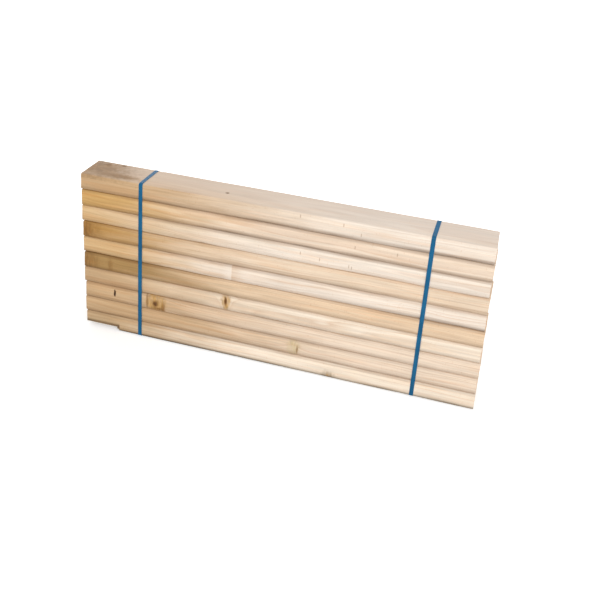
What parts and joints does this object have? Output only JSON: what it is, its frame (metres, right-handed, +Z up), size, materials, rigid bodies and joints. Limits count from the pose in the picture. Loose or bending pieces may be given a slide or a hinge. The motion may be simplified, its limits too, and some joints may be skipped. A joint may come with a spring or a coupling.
{
  "type": "bundle of pine studs",
  "caption": "Strapped bundle of planed pine studs, stacked flat in a single column with eased edges and held by flat blue plastic straps.",
  "frame": {"origin": "middle of the bundle's underside, on the floor that the straps lie on", "axes": "+X along the studs to the right as seen from the front, +Y from the front of the bundle to its back, +Z up through the stack"},
  "size_m": [0.909, 0.0922, 0.3814],
  "materials": {
    "pine": "planed and unfinished",
    "strap": "blue strapping, slightly glossy, finely embossed"
  },
  "bodies": {
    "root": {"stud_01": "pine", "stud_02": "pine", "stud_03": "pine", "stud_04": "pine", "stud_05": "pine", "stud_06": "pine", "stud_07": "pine", "stud_08": "pine", "stud_09": "pine", "stud_10": "pine", "strap_left": "strap", "strap_right": "strap"}
  },
  "joints": []
}
